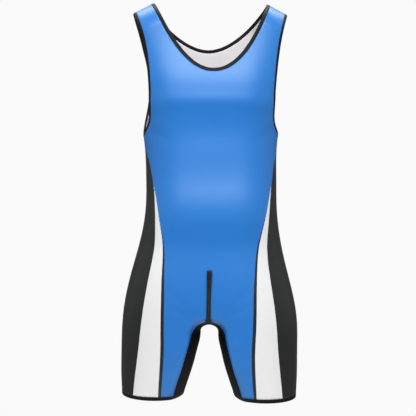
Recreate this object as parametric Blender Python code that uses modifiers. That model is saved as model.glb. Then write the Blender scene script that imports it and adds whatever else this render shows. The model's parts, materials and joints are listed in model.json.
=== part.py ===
"""A wrestling singlet, filled out and hollow, as a wearer would fill it.

Metres, +Z up, the front faces -Y, and left is the wearer's left, at +X. The origin lies
midway between the two shoulder straps, level with the middles of the shoulder seams.

Every panel is cut from one hollow form. The form is read from the front: at a place
(x, z) the cloth stands at y = -front * sqrt(fullness) or y = back * sqrt(fullness), and
fullness falls from 1 in the middle of the trunk or a leg to 0 at the outline, so the side
seams and the shoulder seams lie in the plane y = 0.
"""

import math

import bmesh
import bpy
import numpy as np
from mathutils import Matrix, Vector

# Cloth and seams.
CLOTH = 0.0014
BINDING_WALL = 0.0020
BINDING_WIDTH = 0.0075
BINDING_CURL = 0.0010  # how far the free edge of a binding leans inwards
HEM_BAND = 0.0080
HEM_STEPS = 40  # points round a leg band
SEAM_GAP = 0.0005

# The form: height, and half the width at the side, or how far the cloth stands out from
# the plane of the side seams, in front and behind.
FORM = {
    "side": (
        (0.030, 0.2090),
        (-0.060, 0.1880),
        (-0.120, 0.1725),
        (-0.180, 0.1590),
        (-0.230, 0.1490),
        (-0.270, 0.1427),
        (-0.300, 0.1396),
        (-0.360, 0.1382),
        (-0.420, 0.1390),
        (-0.480, 0.1465),
        (-0.540, 0.1605),
        (-0.600, 0.1757),
        (-0.660, 0.1852),
        (-0.720, 0.1868),
        (-0.780, 0.1866),
        (-0.840, 0.1830),
    ),
    "front": (
        (0.030, 0.0960),
        (-0.060, 0.0980),
        (-0.120, 0.1060),
        (-0.155, 0.1112),
        (-0.180, 0.1130),
        (-0.205, 0.1118),
        (-0.250, 0.1065),
        (-0.285, 0.1032),
        (-0.320, 0.1016),
        (-0.365, 0.1021),
        (-0.410, 0.1040),
        (-0.450, 0.1036),
        (-0.490, 0.1010),
        (-0.525, 0.1003),
        (-0.560, 0.1016),
        (-0.600, 0.1015),
        (-0.660, 0.0975),
        (-0.720, 0.0885),
        (-0.780, 0.0790),
        (-0.840, 0.0720),
    ),
    "back": (
        (0.030, 0.0960),
        (-0.060, 0.1040),
        (-0.120, 0.1100),
        (-0.180, 0.1100),
        (-0.230, 0.1050),
        (-0.270, 0.0980),
        (-0.300, 0.0930),
        (-0.360, 0.0860),
        (-0.420, 0.0850),
        (-0.480, 0.0940),
        (-0.540, 0.1070),
        (-0.600, 0.1150),
        (-0.660, 0.1110),
        (-0.720, 0.0960),
        (-0.780, 0.0830),
        (-0.840, 0.0750),
    ),
}

# The pose: the trunk is turned a little against the legs about the vertical axis, the
# garment leans sideways by a few millimetres, and its hems settle lower in front and at
# the left.
TWIST = math.radians(2.7)
TWIST_MIDDLE = -0.5580  # the height that isn't turned, at the slider of the zip
TWIST_SPREAD = 0.1500
LEAN = (  # height, shift towards the left
    (0.030, 0.0000),
    (-0.030, 0.0000),
    (-0.100, 0.0014),
    (-0.200, 0.0010),
    (-0.300, 0.0016),
    (-0.380, 0.0026),
    (-0.440, 0.0020),
    (-0.500, 0.0000),
    (-0.550, -0.0016),
    (-0.660, -0.0014),
    (-0.740, -0.0026),
    (-0.840, -0.0030),
)
SETTLE_TOP, SETTLE_LIFT, SETTLE_PITCH, SETTLE_ROLL = -0.7000, 0.0015, 0.020, 0.012

# The gap between the legs, as an arch.
CROTCH_HEIGHT = -0.6700
ARCH = (  # height, half the gap
    (CROTCH_HEIGHT, 0.0000),
    (-0.6753, 0.0145),
    (-0.6920, 0.0196),
    (-0.7270, 0.0266),
    (-0.7480, 0.0316),
    (-0.7780, 0.0405),
    (-0.8160, 0.0530),
    (-0.8400, 0.0610),
)
ARCH_TURN = 0.0240  # how far from the gap the cloth starts to turn inwards
ARCH_POINTS = 400  # down the outline of the gap

# Where a leg's own section starts inwards, as a share of the side: -1 is the whole trunk.
LEG_SHARE = (  # height, share
    (-0.500, -1.00),
    (-0.560, -0.99),
    (-0.620, -0.93),
    (-0.660, -0.82),
    (-0.700, -0.62),
    (-0.740, -0.36),
    (-0.780, -0.10),
    (-0.8145, 0.10),
    (-0.840, 0.20),
)
ARCH_ROUNDNESS = 0.030  # rounds the form across the middle, and the top of the arch

# The shoulder line, which slopes down from the neck.
SHOULDER_MIDDLE = 0.1405
SHOULDER_SLOPE = 0.487
SHOULDER_ROLL = 0.065  # height over which a strap turns over the shoulder

# Seam lines. A neckline is a power curve from its lowest point up to the shoulder line.
NECK_HALF_WIDTH = 0.1268
NECK_FRONT = (0.1476, 2.10)  # drop, power
NECK_BACK = (0.0750, 1.85)

# Half the width between the armhole seams, on the front panel and on the back panel.
ARMHOLE_TOP_HALF_WIDTH = 0.1575
ARMHOLE_TOP = -SHOULDER_SLOPE * (ARMHOLE_TOP_HALF_WIDTH - SHOULDER_MIDDLE)
ARMHOLE_BOTTOM = -0.2720  # at the side seam
ARMHOLE_COLUMNS = ("height", "front", "back")
ARMHOLE = (
    (ARMHOLE_TOP, ARMHOLE_TOP_HALF_WIDTH, ARMHOLE_TOP_HALF_WIDTH),
    (-0.0400, 0.1470, 0.1485),
    (-0.0770, 0.1375, 0.1400),
    (-0.1070, 0.1325, 0.1335),
    (-0.1400, 0.1288, 0.1290),
    (-0.1750, 0.1265, 0.1275),
    (-0.2050, 0.1255, 0.1310),
    (-0.2300, 0.1262, 0.1360),
    (-0.2500, 0.1298, 0.1400),
    (-0.2625, 0.1362, 0.1418),
    (ARMHOLE_BOTTOM, 0.1425, 0.1425),
)

# The seam between a leg of a panel and the black gusset, from the middle to the hem.
HEM_HEIGHT = -0.8145
GUSSET_RIM = 0.0100  # height of the gusset over the arch between the legs
GUSSET_ACROSS = 9  # points across the gusset
OUTLINE_STEPS = 401  # for measuring along the outline of the inner leg
GUSSET_SEAM = (  # x, height
    (0.0000, CROTCH_HEIGHT + GUSSET_RIM),
    (0.0150, -0.6635),
    (0.0280, -0.6750),
    (0.0370, -0.6980),
    (0.0460, -0.7290),
    (0.0560, -0.7640),
    (0.0645, -0.7890),
    (0.0715, HEM_HEIGHT),
)

# A panel's rows of points run from its inner edge (neckline, middle, gusset seam) to its
# outer edge (armhole, side seam). Each stretch of the trunk has the heights where it ends,
# inner and outer, and its number of rows.
TRUNK_ROWS = (
    (-0.2550, ARMHOLE_BOTTOM, 7),
    (-0.6380, -0.6440, 10),
    (CROTCH_HEIGHT + GUSSET_RIM, -0.6620, 3),
)
STRAP_ROWS = 9
UNDERARM_ROW = STRAP_ROWS + TRUNK_ROWS[0][2]
STRAP_FOOT = -0.1750  # outer height of the row that starts at the bottom of the neckline
LEG_ROWS = 10
LEG_CROWDING = 1.35
HALF_COLUMNS = 10
TURNED_ROWS = 4  # the rows over which the columns start to crowd towards the gusset too

# The zip.
ZIP_TOP = -0.5500
ZIP_WIDTH = 0.0090
ZIP_WALL = 0.0020
ZIP_STEPS = 14
SLOT_CUTTER_WALL = 0.0100
SLIDER_WIDTH, SLIDER_DEPTH, SLIDER_HEIGHT = 0.0080, 0.0020, 0.0120
SLIDER_BELOW_TOP = 0.0080  # from the zip's top end to the hinge of the tab
SLIDER_EDGE = 0.0006  # radius of the plate's edges
HINGE_STANDOFF = 0.0014  # from the plate's face to the tab's hinge axis
BRIDGE_RADIUS, BRIDGE_WIRE = 0.0023, 0.0008
BRIDGE_STEPS = 8  # straight stretches in the bow of the bridge
TAB_WIDTH, TAB_DEPTH, TAB_LENGTH = 0.0066, 0.0013, 0.0240
TAB_BAR = 0.0008  # from the hinge axis to each edge of the tab's top bar
TAB_WINDOW_WIDTH, TAB_WINDOW_REACH = 0.0026, 0.0038

# Colours, roughness and metallic value.
MATERIALS = {
    "blue_knit": ((0.068, 0.278, 0.760), 0.62, 0.0),
    "black_knit": ((0.012, 0.012, 0.013), 0.70, 0.0),
    "black_elastic": ((0.028, 0.026, 0.026), 0.62, 0.0),
    "black_zip": ((0.014, 0.014, 0.015), 0.45, 0.0),
}


# ---- the form


def smooth(at, table, column):
    """The natural cubic spline through a column of a table whose first column is height."""
    rows = np.array(sorted(table))
    knots, values = rows[:, 0], rows[:, column]
    step = np.diff(knots)
    slope = np.diff(values) / step
    count = len(knots)
    matrix, right = np.eye(count), np.zeros(count)
    for i in range(1, count - 1):
        matrix[i, i - 1 : i + 2] = step[i - 1], 2 * (step[i - 1] + step[i]), step[i]
        right[i] = 6 * (slope[i] - slope[i - 1])
    bend = np.linalg.solve(matrix, right)
    at = np.clip(at, knots[0], knots[-1])
    i = np.clip(np.searchsorted(knots, at) - 1, 0, count - 2)
    a = (knots[i + 1] - at) / step[i]
    b = 1 - a
    curve = (a**3 - a) * bend[i] + (b**3 - b) * bend[i + 1]
    return a * values[i] + b * values[i + 1] + curve * step[i] ** 2 / 6


def form(name, z):
    return smooth(z, FORM[name], 1)


def softened(x, side):
    """x with a round turn at the middle in place of a fold, so that side stays side."""
    turn = np.hypot(x, ARCH_ROUNDNESS) - ARCH_ROUNDNESS
    return turn * side / (np.hypot(side, ARCH_ROUNDNESS) - ARCH_ROUNDNESS)


def unsoftened(m, side):
    scale = (np.hypot(side, ARCH_ROUNDNESS) - ARCH_ROUNDNESS) / side
    return np.sqrt(np.maximum((m * scale + ARCH_ROUNDNESS) ** 2 - ARCH_ROUNDNESS**2, 0))


ARCH_SOFT = tuple((z, float(softened(gap, form("side", z)))) for z, gap in ARCH)


def arch_edge(z):
    """Half the gap between the legs. The spline goes through softened widths, which makes
    the top of the arch round."""
    return unsoftened(np.maximum(smooth(z, ARCH_SOFT, 1), 0), form("side", z))


def arch_line():
    """Points (x, z) down one side of the gap, closer together at its top."""
    z = CROTCH_HEIGHT + (ARCH[-1][0] - CROTCH_HEIGHT) * np.linspace(0, 1, ARCH_POINTS) ** 2
    return np.column_stack([arch_edge(z), z])


ARCH_LINE = arch_line()


def arch_distance(x, z):
    """How far (x, z) is from the gap: the least distance to a piece of its outline."""
    start, piece = ARCH_LINE[:-1], np.diff(ARCH_LINE, axis=0)
    place = np.stack([np.abs(x), z], axis=-1)[..., None, :] - start
    share = np.clip((place * piece).sum(axis=-1) / (piece**2).sum(axis=-1), 0, 1)
    return np.linalg.norm(place - share[..., None] * piece, axis=-1).min(axis=-1)


def shoulder_line(x):
    return -SHOULDER_SLOPE * (np.abs(x) - SHOULDER_MIDDLE)


def rounded(share):
    """Rises from 0 to 1 as the square of a quarter of a circle, and stays 1."""
    return 1 - np.maximum(1 - share, 0) ** 2


def fullness(x, z):
    """1 in the middle of the trunk or a leg, and 0 at the outline."""
    side, leg = form("side", z), smooth(z, LEG_SHARE, 1)
    middle, half = side * (1 + leg) / 2, side * (1 - leg) / 2
    across = 1 - ((softened(np.abs(x), side) - middle) / half) ** 2
    full = across * rounded((shoulder_line(x) - z) / SHOULDER_ROLL)
    near = z < CROTCH_HEIGHT + ARCH_TURN
    full[near] *= rounded(arch_distance(x[near], z[near]) / ARCH_TURN)
    return full


def on_form(x, z, face):
    """Points of the form at (x, z), on its front or back, half a seam's gap off y = 0."""
    x, z = np.broadcast_arrays(np.asarray(x, float), np.asarray(z, float))
    out = form(face, z) * np.sqrt(np.maximum(fullness(x, z), 0)) + SEAM_GAP / 2
    return np.stack([x, -out if face == "front" else out, z], axis=-1)


def form_normal(points):
    """Outward unit normals, from how (y / depth)^2 - fullness grows round each point."""

    def outside(p):
        x, y, z = np.moveaxis(p, -1, 0)
        depth = np.where(y < 0, form("front", z), form("back", z))
        return (y / depth) ** 2 - fullness(x, z)

    step = 1e-5
    slopes = [outside(points + d) - outside(points - d) for d in np.eye(3) * step]
    return unit(np.stack(slopes, axis=-1))


def posed(points):
    """Points twisted and leaning by their own height, and settled near the hems."""
    x, y, z = np.moveaxis(points, -1, 0)
    turn = TWIST * np.tanh((z - TWIST_MIDDLE) / TWIST_SPREAD)
    cos, sin = np.cos(turn), np.sin(turn)
    share = (np.maximum(SETTLE_TOP - z, 0) / (SETTLE_TOP - HEM_HEIGHT)) ** 2
    settle = share * (SETTLE_LIFT + SETTLE_PITCH * y - SETTLE_ROLL * x)
    lean = smooth(z, LEAN, 1)
    return np.stack([x * cos - y * sin + lean, x * sin + y * cos, z + settle], axis=-1)


# ---- the seam lines, as seen from the front


def neckline(x, neck):
    drop, power = neck
    rise = drop + shoulder_line(NECK_HALF_WIDTH)
    return -drop + rise * (np.abs(x) / NECK_HALF_WIDTH) ** power


def outer_edge(z, face):
    """Half the width of a panel: to the armhole seam, and below it to the side seam."""
    above = z > ARMHOLE_BOTTOM + SEAM_GAP / 2
    return np.where(above, smooth(z, ARMHOLE, ARMHOLE_COLUMNS.index(face)), form("side", z))


def gusset_seam(along):
    """Points (x, z) of the gusset's seam: along runs from 0 in the middle to 1 at a hem."""
    half = np.array(GUSSET_SEAM)
    whole = np.concatenate([half[:0:-1] * (-1, 1), half])
    lengths = np.linalg.norm(np.diff(whole, axis=0), axis=1)
    reach = np.concatenate([[0], np.cumsum(lengths)])
    reach = (reach - reach[-1] / 2) / (reach[-1] / 2)
    table = [tuple(row) for row in np.column_stack([reach, whole])]
    return np.stack([smooth(along, table, 1), smooth(along, table, 2)], axis=-1)


def arch_outline(along):
    """Points (x, z) where the form turns from front to back between the legs, with along
    from 0 at the crotch to 1 at a hem, measured along the outline."""
    z = CROTCH_HEIGHT + (HEM_HEIGHT - CROTCH_HEIGHT) * np.linspace(0, 1, OUTLINE_STEPS) ** 2
    x = arch_edge(z)
    reach = np.concatenate([[0], np.cumsum(np.hypot(np.diff(x), np.diff(z)))])
    at = np.abs(along) * reach[-1]
    x, z = np.interp(at, reach, x), np.interp(at, reach, z)
    return np.stack([np.sign(along) * x, z], axis=-1)


# ---- meshes


def material(name):
    colour, roughness, metallic = MATERIALS[name]
    made = bpy.data.materials.get(name) or bpy.data.materials.new(name)
    made.use_nodes = True
    shader = made.node_tree.nodes["Principled BSDF"]
    shader.inputs["Base Color"].default_value = (*colour, 1)
    shader.inputs["Roughness"].default_value = roughness
    shader.inputs["Metallic"].default_value = metallic
    return made


def move_to(obj, collection):
    for owner in list(obj.users_collection):
        owner.objects.unlink(obj)
    collection.objects.link(obj)


def quads(index):
    """The faces of a grid of point numbers."""
    corners = index[:-1, :-1], index[:-1, 1:], index[1:, 1:], index[1:, :-1]
    return np.stack(corners, axis=-1).reshape(-1, 4)


def add_cloth(name, points, faces, wall, finish, collection):
    """A wall with its middle on the points, in the garment's pose."""
    mesh = bpy.data.meshes.new(name)
    mesh.from_pydata(posed(points).tolist(), [], faces.tolist())
    mesh.validate()
    mesh.shade_smooth()
    mesh.materials.append(material(finish))
    obj = bpy.data.objects.new(name, mesh)
    collection.objects.link(obj)
    shell = obj.modifiers.new("Wall", "SOLIDIFY")
    shell.thickness = wall
    shell.offset = 0
    return obj


def add_sheet(name, grid, wall, finish, collection, ring=False):
    """Cloth through a grid of points, [row, column, xyz]. A ring closes its rows."""
    rows, columns = grid.shape[:2]
    index = np.arange(rows * columns).reshape(rows, columns)
    if ring:
        index = np.vstack([index, index[:1]])
    return add_cloth(name, grid.reshape(-1, 3), quads(index), wall, finish, collection)


def unit(vectors):
    return vectors / np.linalg.norm(vectors, axis=-1, keepdims=True)


def draw_in(line, neighbour):
    """Moves a border line of points half a seam's gap towards the line beside it, square
    to the border."""
    along = unit(np.gradient(line, axis=0))
    way = neighbour - line
    way -= (way * along).sum(axis=-1, keepdims=True) * along
    return line + unit(way) * SEAM_GAP / 2


# ---- front and back panels


def leg_steps():
    """Where the rows of a leg cross the gusset's seam, from 0 to 1: closer at the crotch."""
    return (np.arange(LEG_ROWS + 1) / LEG_ROWS) ** LEG_CROWDING


def panel_edges(neck, face):
    """The inner and outer ends (x, z) of a panel's rows, from the shoulder to the hem."""
    up = np.sin(np.linspace(math.pi / 2, 0, STRAP_ROWS + 1))
    neck_x = NECK_HALF_WIDTH * up
    strap_z = STRAP_FOOT + (ARMHOLE_TOP - STRAP_FOOT) * up
    inner = [np.column_stack([neck_x, neckline(neck_x, neck)])]
    outer = [np.column_stack([outer_edge(strap_z, face), strap_z])]
    inner_z, outer_z = -neck[0], STRAP_FOOT
    for inner_end, outer_end, rows in TRUNK_ROWS:
        down = np.arange(1, rows + 1) / rows
        if outer_end == ARMHOLE_BOTTOM:
            down = np.sin(down * math.pi / 2)
        z = inner_z + (inner_end - inner_z) * down
        inner.append(np.column_stack([np.zeros(rows), z]))
        z = outer_z + (outer_end - outer_z) * down
        outer.append(np.column_stack([outer_edge(z, face), z]))
        inner_z, outer_z = inner_end, outer_end
    down = leg_steps()[1:]
    inner.append(gusset_seam(down))
    z = outer_z + (HEM_HEIGHT - outer_z) * down
    outer.append(np.column_stack([outer_edge(z, face), z]))
    return np.concatenate(inner), np.concatenate(outer)


def half_panel(neck, face):
    """One half of a panel, at +X, as a grid of points. Columns crowd towards the side,
    where the form turns round, and on a leg towards the gusset too, so that they are even
    round the section."""
    inner, outer = panel_edges(neck, face)
    turn = np.linspace(0, math.pi / 2, HALF_COLUMNS)
    first_turned = len(inner) - LEG_ROWS - TURNED_ROWS // 2
    share = np.clip((np.arange(len(inner)) - first_turned) / TURNED_ROWS, 0, 1)[:, None]
    across = (1 - share) * np.sin(turn) + share * np.sin(turn) ** 2
    places = inner[:, None] + (outer - inner)[:, None] * across[..., None]
    grid = on_form(places[..., 0], places[..., 1], face)
    neck_edge, leg_edge = slice(0, STRAP_ROWS), slice(-LEG_ROWS, None)
    armhole_edge = slice(0, UNDERARM_ROW + 1)
    grid[neck_edge, 0] = draw_in(grid[neck_edge, 0], grid[neck_edge, 1])
    grid[leg_edge, 0] = draw_in(grid[leg_edge, 0], grid[leg_edge, 1])
    grid[armhole_edge, -1] = draw_in(grid[armhole_edge, -1], grid[armhole_edge, -2])
    grid[-1] = draw_in(grid[-1], grid[-2])
    grid[STRAP_ROWS, 0, 2] -= SEAM_GAP / 2
    grid[-LEG_ROWS - 1, 0, 2] += SEAM_GAP / 2
    return grid


def add_panel(name, neck, face, collection):
    """Both halves as one piece: they share the middle line below the neckline, and are
    apart at the straps and at the legs."""
    half = half_panel(neck, face)
    rows, columns = half.shape[:2]
    left = np.arange(rows * columns).reshape(rows, columns)
    right = left + rows * columns
    joined = slice(STRAP_ROWS, rows - LEG_ROWS)
    right[joined, 0] = left[joined, 0]
    facing = 1 if face == "front" else -1
    faces = [quads(left)[:, ::facing], quads(right)[:, ::-facing]]
    points = np.concatenate([half.reshape(-1, 3), half.reshape(-1, 3) * (-1, 1, 1)])
    used, compact = np.unique(np.concatenate(faces), return_inverse=True)
    return add_cloth(name, points[used], compact.reshape(-1, 4), CLOTH, "blue_knit", collection)


def zip_grid(top, foot, width):
    """Points of the form along the middle of the front, closer where it turns under."""
    z = top + (foot - top) * np.sin(np.linspace(0, math.pi / 2, ZIP_STEPS + 1))
    return on_form(np.linspace(-width / 2, width / 2, 3), z[:, None], "front")


def cut_zip_slot(panel, helpers):
    """The slot is open at its foot, where the zip runs into the gusset."""
    grid = zip_grid(ZIP_TOP, CROTCH_HEIGHT + SEAM_GAP, ZIP_WIDTH + 2 * SEAM_GAP)
    cutter = add_sheet("zip_slot_cutter", grid, SLOT_CUTTER_WALL, "black_zip", helpers)
    cutter.hide_render = True
    cutter.display_type = "WIRE"
    cut = panel.modifiers.new("Zip slot", "BOOLEAN")
    cut.operation = "DIFFERENCE"
    cut.object = cutter


# ---- gusset, bindings and leg bands


def add_gusset(collection):
    """One hourglass piece. Each row runs from the front seam, round the outline of the
    inner leg or the arch, to the back seam."""
    along = leg_steps()
    along = np.concatenate([-along[:0:-1], along])
    seam, outline = gusset_seam(along), arch_outline(along)
    turn = np.linspace(-1, 1, GUSSET_ACROSS)
    places = outline[:, None] + (seam - outline)[:, None] * (turn**2)[:, None]
    front = on_form(places[..., 0], places[..., 1], "front")
    back = on_form(places[..., 0], places[..., 1], "back")
    grid = np.where((turn < 0)[:, None], front, back)
    centre = len(turn) // 2
    grid[:, centre, 1] = 0
    grid[:, 0] = draw_in(grid[:, 0], grid[:, 1])
    grid[:, -1] = draw_in(grid[:, -1], grid[:, -2])
    grid[0] = draw_in(grid[0], grid[1])
    grid[-1] = draw_in(grid[-1], grid[-2])
    return add_sheet("inner_leg_gusset", grid, CLOTH, "black_knit", collection)


def add_binding(name, loop, collection):
    """A strip along a closed seam line, on the side of the opening, square to the line
    and lying on the form, with its free edge leaning in a little."""
    ahead = unit(np.roll(loop, -1, axis=0) - np.roll(loop, 1, axis=0))
    normal = form_normal(loop)
    sideways = np.cross(normal, ahead)
    if ((loop.mean(axis=0) - loop) * sideways).sum() < 0:
        sideways = -sideways
    reach = np.array([SEAM_GAP / 2, BINDING_WIDTH / 2, BINDING_WIDTH])
    sink = BINDING_CURL * (reach / BINDING_WIDTH) ** 2
    grid = loop[:, None] + sideways[:, None] * reach[:, None] - normal[:, None] * sink[:, None]
    return add_sheet(name, grid, BINDING_WALL, "black_elastic", collection, ring=True)


def neck_loop():
    """The neck seam, all round: the inner ends of both panels' strap rows."""
    loop = []
    for neck, face in ((NECK_FRONT, "front"), (NECK_BACK, "back")):
        x, z = panel_edges(neck, face)[0][: STRAP_ROWS + 1].T
        left = on_form(x, z, face)
        whole = np.concatenate([left, left[-2::-1] * (-1, 1, 1)])
        whole[[0, -1], 1] = 0
        loop.append(whole if face == "front" else whole[-2:0:-1])
    return np.concatenate(loop)


def armhole_loop(side):
    """The armhole seam, all round: the outer ends of both panels' rows above the underarm."""
    loop = []
    for neck, face in ((NECK_FRONT, "front"), (NECK_BACK, "back")):
        x, z = panel_edges(neck, face)[1][: UNDERARM_ROW + 1].T
        edge = on_form(x, z, face)
        edge[[0, -1], 1] = 0
        loop.append(edge if face == "front" else edge[-2:0:-1])
    return np.concatenate(loop) * (side, 1, 1)


def add_leg_band(name, side, collection):
    """Its rings are sections of the leg, from the inner edge to the outer edge by the
    steps of a cosine, in front and back again behind."""
    turn = np.linspace(0, math.pi, HEM_STEPS // 2 + 1)[:, None]
    z = HEM_HEIGHT - np.array([SEAM_GAP / 2, HEM_BAND / 2, HEM_BAND])
    inner, outer = arch_edge(z), form("side", z)
    x = inner + (outer - inner) * (1 - np.cos(turn)) / 2
    front, back = (on_form(x, z, face) for face in ("front", "back"))
    front[[0, -1], :, 1] = 0
    grid = np.concatenate([front, back[-2:0:-1]]) * (side, 1, 1)
    return add_sheet(name, grid, BINDING_WALL, "black_elastic", collection, ring=True)


# ---- zip


def add_zip_strip(collection):
    foot = CROTCH_HEIGHT + GUSSET_RIM
    grid = zip_grid(ZIP_TOP - SEAM_GAP, foot, ZIP_WIDTH)
    grid[-1] = draw_in(grid[-1], grid[-2])
    return add_sheet("zip_strip", grid, ZIP_WALL, "black_zip", collection)


def add_box(name, size, place, finish, collection, round_edges=0.0):
    """A cube primitive at its real size, with its edges rounded if asked."""
    bpy.ops.mesh.primitive_cube_add(size=1)
    obj = bpy.context.object
    obj.name = name
    obj.data.transform(Matrix.Diagonal((*size, 1)))
    obj.location = place
    move_to(obj, collection)
    obj.data.materials.append(material(finish))
    if round_edges:
        bevel = obj.modifiers.new("Edges", "BEVEL")
        bevel.width = round_edges
        bevel.segments = 2
    return obj


def hinge_point():
    """The middle of the tab's top bar, in the bridge, over the zip's face."""
    z = ZIP_TOP - SLIDER_BELOW_TOP
    span = z + SLIDER_HEIGHT / 2 * np.array([-1, 0, 1])
    face = on_form(0, span, "front")[:, 1].min() - ZIP_WALL / 2
    hinge = np.array([0, face - SEAM_GAP - SLIDER_DEPTH - HINGE_STANDOFF, z])
    return Vector(posed(hinge))


def add_slider(hinge, collection, helpers):
    """A plate that lies on the zip, and a wire bridge round the hinge axis."""
    sunk = HINGE_STANDOFF + SLIDER_DEPTH / 2  # from the axis to the middle of the plate
    place = hinge + Vector((0, sunk, 0))
    size = (SLIDER_WIDTH, SLIDER_DEPTH, SLIDER_HEIGHT)
    slider = add_box("zip_slider", size, place, "black_zip", collection, SLIDER_EDGE)
    bow = [math.pi * step / BRIDGE_STEPS for step in range(BRIDGE_STEPS + 1)]
    route = [(0, -BRIDGE_RADIUS * math.sin(a), BRIDGE_RADIUS * math.cos(a)) for a in bow]
    route = [(0, sunk, BRIDGE_RADIUS), *route, (0, sunk, -BRIDGE_RADIUS)]
    bridge = mesh_of_wire("bridge", route, BRIDGE_WIRE, helpers)
    bridge.location = hinge
    join = slider.modifiers.new("Bridge", "BOOLEAN")
    join.operation = "UNION"
    join.object = bridge
    return slider


def mesh_of_wire(name, route, radius, helpers):
    """A round wire along straight stretches, with its caps welded on."""
    curve = bpy.data.curves.new(name, "CURVE")
    curve.dimensions = "3D"
    curve.bevel_depth = radius
    curve.bevel_resolution = 1
    curve.use_fill_caps = True
    line = curve.splines.new("POLY")
    line.points.add(len(route) - 1)
    for point, place in zip(line.points, route):
        point.co = (*place, 1)
    guide = bpy.data.objects.new(name + "_route", curve)
    helpers.objects.link(guide)
    graph = bpy.context.evaluated_depsgraph_get()
    mesh = bpy.data.meshes.new_from_object(guide.evaluated_get(graph))
    bpy.data.objects.remove(guide)
    shape = bmesh.new()
    shape.from_mesh(mesh)
    bmesh.ops.remove_doubles(shape, verts=shape.verts, dist=1e-6)
    bmesh.ops.recalc_face_normals(shape, faces=shape.faces)
    shape.to_mesh(mesh)
    shape.free()
    obj = bpy.data.objects.new(name, mesh)
    obj.hide_render = True
    obj.display_type = "WIRE"
    helpers.objects.link(obj)
    return obj


def add_pull_tab(hinge, collection, helpers):
    """Its origin is on its hinge axis. A window under its top bar clears the bridge."""
    top, foot = TAB_BAR, -TAB_LENGTH
    size = (TAB_WIDTH, TAB_DEPTH, top - foot)
    tab = add_box("zip_pull_tab", size, (0, 0, 0), "black_zip", collection)
    tab.data.transform(Matrix.Translation((0, 0, (top + foot) / 2)))
    tab.location = hinge
    size = (TAB_WINDOW_WIDTH, 3 * TAB_DEPTH, TAB_WINDOW_REACH - TAB_BAR)
    window = add_box("tab_window_cutter", size, (0, 0, 0), "black_zip", helpers)
    window.location = hinge + Vector((0, 0, -(TAB_WINDOW_REACH + TAB_BAR) / 2))
    window.hide_render = True
    window.display_type = "WIRE"
    cut = tab.modifiers.new("Window", "BOOLEAN")
    cut.operation = "DIFFERENCE"
    cut.object = window
    return tab


def main():
    for obj in list(bpy.data.objects):
        bpy.data.objects.remove(obj)
    singlet = bpy.data.collections.new("wrestling_singlet")
    helpers = bpy.data.collections.new("helpers")
    for made in (singlet, helpers):
        bpy.context.scene.collection.children.link(made)

    front_panel = add_panel("front_panel", NECK_FRONT, "front", singlet)
    cut_zip_slot(front_panel, helpers)
    add_panel("back_panel", NECK_BACK, "back", singlet)
    add_gusset(singlet)
    add_binding("neck_binding", neck_loop(), singlet)
    for name, side in (("left", 1), ("right", -1)):
        add_binding(f"armhole_binding_{name}", armhole_loop(side), singlet)
        add_leg_band(f"leg_band_{name}", side, singlet)
    add_zip_strip(singlet)
    hinge = hinge_point()
    add_slider(hinge, singlet, helpers)
    add_pull_tab(hinge, singlet, helpers)


main()
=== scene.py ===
# %% [markdown]
# # The looks of a wrestling singlet
#
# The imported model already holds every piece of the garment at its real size: two blue panels,
# a black gusset between the legs, black edges, and a short zip. Here each piece gets its fine
# surface and its finish. Everything is in metres, +Z up; the front faces -Y and the wearer's
# left is at +X.

# %% The frame
import json
import math

import bpy
import numpy as np
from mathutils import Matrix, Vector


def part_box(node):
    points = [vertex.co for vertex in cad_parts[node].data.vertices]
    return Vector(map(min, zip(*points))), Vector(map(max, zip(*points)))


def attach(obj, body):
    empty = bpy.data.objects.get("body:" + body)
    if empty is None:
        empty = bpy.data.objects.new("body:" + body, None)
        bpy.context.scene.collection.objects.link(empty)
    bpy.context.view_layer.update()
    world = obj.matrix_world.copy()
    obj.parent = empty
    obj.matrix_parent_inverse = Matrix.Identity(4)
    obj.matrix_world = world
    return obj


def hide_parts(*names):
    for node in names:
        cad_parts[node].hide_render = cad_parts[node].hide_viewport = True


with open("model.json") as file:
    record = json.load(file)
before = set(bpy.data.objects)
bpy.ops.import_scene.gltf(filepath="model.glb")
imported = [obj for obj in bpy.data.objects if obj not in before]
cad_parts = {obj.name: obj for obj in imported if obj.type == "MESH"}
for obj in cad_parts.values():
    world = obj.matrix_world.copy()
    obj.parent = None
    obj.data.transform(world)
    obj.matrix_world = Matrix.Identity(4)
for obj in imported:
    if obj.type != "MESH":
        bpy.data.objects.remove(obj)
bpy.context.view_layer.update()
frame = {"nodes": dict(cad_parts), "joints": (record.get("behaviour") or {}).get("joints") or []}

# %% [markdown]
# ## Where the camera stands
#
# The garment is seen straight from the front at waist height, from a little under two metres,
# so its outline keeps its true proportions. The width of the view at the garment gives the
# lens: half the view over the distance is the tangent of half the angle.

# %% Camera
VIEW_WIDTH = 0.8894  # what the square view spans in the plane of the side seams
CAMERA_DISTANCE = 1.9
CAMERA_HEIGHT = -0.4233
CAMERA_ASIDE = -0.0047

camera = bpy.data.objects.new("camera", bpy.data.cameras.new("camera"))
bpy.context.scene.collection.objects.link(camera)
camera.location = (CAMERA_ASIDE, -CAMERA_DISTANCE, CAMERA_HEIGHT)
camera.rotation_euler = (math.pi / 2, 0, 0)
camera.data.lens = camera.data.sensor_width * CAMERA_DISTANCE / VIEW_WIDTH
bpy.context.scene.camera = camera
print(f"lens {camera.data.lens:.1f} mm")

# %% [markdown]
# ## The form that fills the garment
#
# Stretch knit takes the shape of what is in it, so all the cloth lies on one smooth form. Read
# from the front, the form at a place (x, z) stands at y = -front * sqrt(fullness), or at
# y = back * sqrt(fullness) behind. Fullness is 1 in the middle of the trunk or of a leg and
# 0 at the outline. A cubic spline carries each size from one measured level to the next. A
# box of control points and a subdivision surface would do as well, but then a seam could not
# be asked for by its height.

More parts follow.
